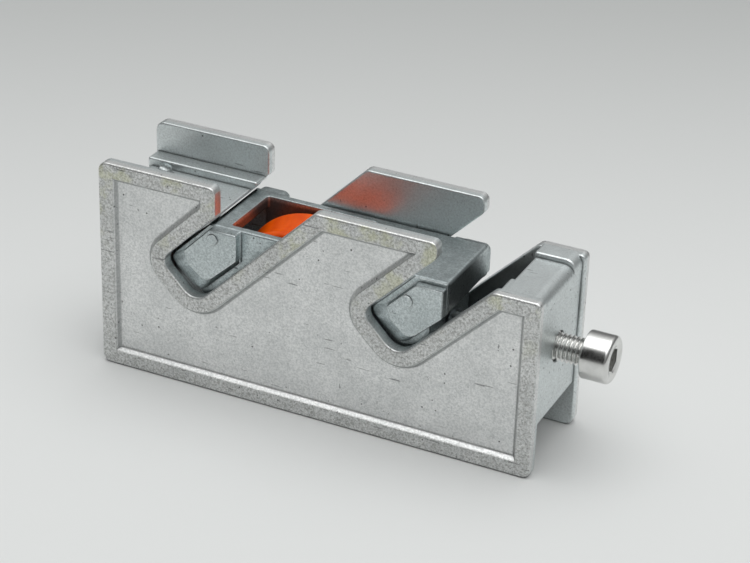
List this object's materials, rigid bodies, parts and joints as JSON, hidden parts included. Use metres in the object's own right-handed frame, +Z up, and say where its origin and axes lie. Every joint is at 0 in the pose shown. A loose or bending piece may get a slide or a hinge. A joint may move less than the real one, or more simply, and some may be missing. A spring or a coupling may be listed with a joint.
{
  "type": "sliding door roller",
  "caption": "Height-adjustable sliding door roller: slotted die-cast housing, ball-bearing wheel in a carrier that climbs inclined slots, and an adjusting screw.",
  "frame": {"origin": "centre of the whole part's footprint, on the plane the housing's lower edges stand on", "axes": "+X along the housing from the closed end to the adjusting screw, +Y from the front plate to the back plate (the wheel's axle), +Z up"},
  "size_m": [0.0948, 0.0226, 0.0405],
  "materials": {
    "housing": "die-cast zinc alloy, satin, faint passivation tint",
    "carrier": "die-cast zinc alloy, darker blue-grey, satin",
    "plated_steel": "bright zinc-plated steel",
    "bearing_steel": "ground and polished bearing steel",
    "cage_nylon": "moulded black polyamide",
    "tyre_nylon": "moulded orange-red polyamide, semi-gloss"
  },
  "bodies": {
    "housing": {"housing": "housing", "threaded_insert": "plated_steel"},
    "carrier": {"wheel_carrier": "carrier", "axle_pin": "bearing_steel", "axle_spacer_front": "plated_steel", "axle_spacer_rear": "plated_steel", "bearing_inner_ring": "bearing_steel"},
    "thrust": {"thrust_cap": "bearing_steel"},
    "screw": {"adjusting_screw": "plated_steel"},
    "wheel": {"wheel_tyre": "tyre_nylon", "bearing_outer_ring": "bearing_steel", "bearing_shield_front": "plated_steel", "bearing_shield_rear": "plated_steel"},
    "cage": {"bearing_cage": "cage_nylon"},
    "ball_1": {"bearing_ball_1": "bearing_steel"},
    "ball_2": {"bearing_ball_2": "bearing_steel"},
    "ball_3": {"bearing_ball_3": "bearing_steel"},
    "ball_4": {"bearing_ball_4": "bearing_steel"},
    "ball_5": {"bearing_ball_5": "bearing_steel"},
    "ball_6": {"bearing_ball_6": "bearing_steel"},
    "ball_7": {"bearing_ball_7": "bearing_steel"}
  },
  "joints": [
    {"name": "screw_turn", "type": "hinge", "parent": "thrust", "child": "screw", "pos_m": [0, 0, 0.0206], "axis": [1, 0, 0], "range_deg": [0, 2700]},
    {"name": "screw_travel", "type": "slide", "parent": "housing", "child": "thrust", "axis": [1, 0, 0], "range_m": [0, 0.006]},
    {"name": "carrier_slide", "type": "slide", "parent": "housing", "child": "carrier", "axis": [0.7071, 0, 0.7071], "range_m": [0, 0.00848]},
    {"name": "wheel_spin", "type": "hinge", "parent": "carrier", "child": "wheel", "pos_m": [-0.01175, 0, 0.0172], "axis": [0, 1, 0], "continuous": true},
    {"name": "cage_spin", "type": "hinge", "parent": "carrier", "child": "cage", "pos_m": [-0.01175, 0, 0.0172], "axis": [0, 1, 0], "continuous": true},
    {"name": "ball_1_spin", "type": "hinge", "parent": "cage", "child": "ball_1", "pos_m": [-0.00499, 0, 0.02045], "axis": [0, 1, 0], "continuous": true},
    {"name": "ball_2_spin", "type": "hinge", "parent": "cage", "child": "ball_2", "pos_m": [-0.01008, 0, 0.02451], "axis": [0, 1, 0], "continuous": true},
    {"name": "ball_3_spin", "type": "hinge", "parent": "cage", "child": "ball_3", "pos_m": [-0.01643, 0, 0.02306], "axis": [0, 1, 0], "continuous": true},
    {"name": "ball_4_spin", "type": "hinge", "parent": "cage", "child": "ball_4", "pos_m": [-0.01925, 0, 0.0172], "axis": [0, 1, 0], "continuous": true},
    {"name": "ball_5_spin", "type": "hinge", "parent": "cage", "child": "ball_5", "pos_m": [-0.01643, 0, 0.01134], "axis": [0, 1, 0], "continuous": true},
    {"name": "ball_6_spin", "type": "hinge", "parent": "cage", "child": "ball_6", "pos_m": [-0.01008, 0, 0.00989], "axis": [0, 1, 0], "continuous": true},
    {"name": "ball_7_spin", "type": "hinge", "parent": "cage", "child": "ball_7", "pos_m": [-0.00499, 0, 0.01395], "axis": [0, 1, 0], "continuous": true}
  ],
  "couplings": [
    {"joint": "screw_travel", "follows": "carrier_slide", "ratio": 0.70711},
    {"joint": "screw_turn", "follows": "carrier_slide", "rad_per_m": 5553.6},
    {"joint": "cage_spin", "follows": "wheel_spin", "ratio": 0.6323},
    {"joint": "ball_1_spin", "follows": "wheel_spin", "ratio": 1.757},
    {"joint": "ball_2_spin", "follows": "wheel_spin", "ratio": 1.757},
    {"joint": "ball_3_spin", "follows": "wheel_spin", "ratio": 1.757},
    {"joint": "ball_4_spin", "follows": "wheel_spin", "ratio": 1.757},
    {"joint": "ball_5_spin", "follows": "wheel_spin", "ratio": 1.757},
    {"joint": "ball_6_spin", "follows": "wheel_spin", "ratio": 1.757},
    {"joint": "ball_7_spin", "follows": "wheel_spin", "ratio": 1.757}
  ]
}
